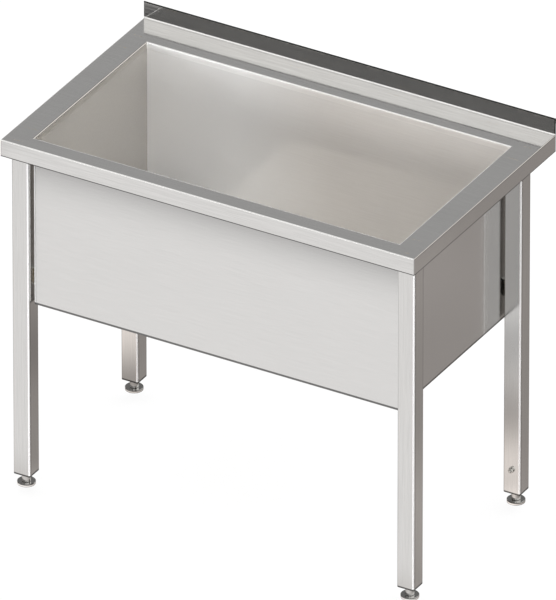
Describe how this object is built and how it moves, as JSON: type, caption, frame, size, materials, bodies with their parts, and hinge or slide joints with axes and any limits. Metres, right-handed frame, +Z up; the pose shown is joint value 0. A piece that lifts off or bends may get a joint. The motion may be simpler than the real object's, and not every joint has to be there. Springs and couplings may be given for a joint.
{
  "type": "utility laundry sink",
  "caption": "Free-standing deep-bowl stainless sink: folded worktop with rear upstand, square tube legs on levelling feet, central waste.",
  "frame": {"origin": "on the floor, under the middle of the worktop, with the feet screwed in", "axes": "+X to the right along the worktop, +Y to the rear, +Z up"},
  "size_m": [1, 0.6, 0.89],
  "materials": {
    "worktop_steel": "satin ground stainless sheet",
    "bowl_steel": "satin ground stainless sheet",
    "leg_steel": "ground stainless tube",
    "fastener_steel": "plain stainless fasteners",
    "foot_steel": "turned stainless",
    "waste_steel": "polished stainless",
    "insert_plastic": "moulded black polyamide",
    "waste_plastic": "moulded dark grey polypropylene",
    "black_rubber": "moulded rubber"
  },
  "bodies": {
    "root": {"worktop": "worktop_steel", "rear_apron": "worktop_steel", "bowl_front_wall": "bowl_steel", "bowl_back_wall": "bowl_steel", "bowl_left_wall": "bowl_steel", "bowl_right_wall": "bowl_steel", "bowl_floor": "bowl_steel", "leg_front_left": "leg_steel", "leg_socket_front_left": "leg_steel", "leg_insert_front_left": "insert_plastic", "insert_nut_front_left": "fastener_steel", "leg_front_right": "leg_steel", "leg_socket_front_right": "leg_steel", "leg_insert_front_right": "insert_plastic", "insert_nut_front_right": "fastener_steel", "leg_rear_left": "leg_steel", "leg_socket_rear_left": "leg_steel", "leg_insert_rear_left": "insert_plastic", "insert_nut_rear_left": "fastener_steel", "leg_rear_right": "leg_steel", "leg_socket_rear_right": "leg_steel", "leg_insert_rear_right": "insert_plastic", "insert_nut_rear_right": "fastener_steel", "leg_spacers": "leg_steel", "leg_screws": "fastener_steel", "strainer_screw": "fastener_steel", "bonding_rivet_nut": "fastener_steel", "bonding_stud": "fastener_steel", "bonding_washer": "fastener_steel", "bonding_nut": "fastener_steel", "waste_flange": "waste_steel", "strainer": "waste_steel", "waste_gasket_upper": "black_rubber", "waste_gasket_lower": "black_rubber", "waste_body": "waste_plastic"},
    "foot_front_left": {"foot_base_front_left": "foot_steel", "foot_pad_front_left": "black_rubber"},
    "foot_screw_front_left": {"foot_stem_front_left": "foot_steel", "foot_stud_front_left": "fastener_steel"},
    "foot_front_right": {"foot_base_front_right": "foot_steel", "foot_pad_front_right": "black_rubber"},
    "foot_screw_front_right": {"foot_stem_front_right": "foot_steel", "foot_stud_front_right": "fastener_steel"},
    "foot_rear_left": {"foot_base_rear_left": "foot_steel", "foot_pad_rear_left": "black_rubber"},
    "foot_screw_rear_left": {"foot_stem_rear_left": "foot_steel", "foot_stud_rear_left": "fastener_steel"},
    "foot_rear_right": {"foot_base_rear_right": "foot_steel", "foot_pad_rear_right": "black_rubber"},
    "foot_screw_rear_right": {"foot_stem_rear_right": "foot_steel", "foot_stud_rear_right": "fastener_steel"}
  },
  "joints": [
    {"name": "foot_travel_front_left", "type": "slide", "parent": "root", "child": "foot_front_left", "axis": [0, 0, -1], "range_m": [0, 0.02]},
    {"name": "foot_turn_front_left", "type": "hinge", "parent": "foot_front_left", "child": "foot_screw_front_left", "pos_m": [-0.467, -0.256, 0.017], "axis": [0, 0, -1], "range_deg": [0, 4800]},
    {"name": "foot_travel_front_right", "type": "slide", "parent": "root", "child": "foot_front_right", "axis": [0, 0, -1], "range_m": [0, 0.02]},
    {"name": "foot_turn_front_right", "type": "hinge", "parent": "foot_front_right", "child": "foot_screw_front_right", "pos_m": [0.467, -0.256, 0.017], "axis": [0, 0, -1], "range_deg": [0, 4800]},
    {"name": "foot_travel_rear_left", "type": "slide", "parent": "root", "child": "foot_rear_left", "axis": [0, 0, -1], "range_m": [0, 0.02]},
    {"name": "foot_turn_rear_left", "type": "hinge", "parent": "foot_rear_left", "child": "foot_screw_rear_left", "pos_m": [-0.467, 0.196, 0.017], "axis": [0, 0, -1], "range_deg": [0, 4800]},
    {"name": "foot_travel_rear_right", "type": "slide", "parent": "root", "child": "foot_rear_right", "axis": [0, 0, -1], "range_m": [0, 0.02]},
    {"name": "foot_turn_rear_right", "type": "hinge", "parent": "foot_rear_right", "child": "foot_screw_rear_right", "pos_m": [0.467, 0.196, 0.017], "axis": [0, 0, -1], "range_deg": [0, 4800]}
  ],
  "couplings": [
    {"joint": "foot_turn_front_left", "follows": "foot_travel_front_left", "rad_per_m": 4188.8},
    {"joint": "foot_turn_front_right", "follows": "foot_travel_front_right", "rad_per_m": 4188.8},
    {"joint": "foot_turn_rear_left", "follows": "foot_travel_rear_left", "rad_per_m": 4188.8},
    {"joint": "foot_turn_rear_right", "follows": "foot_travel_rear_right", "rad_per_m": 4188.8}
  ]
}
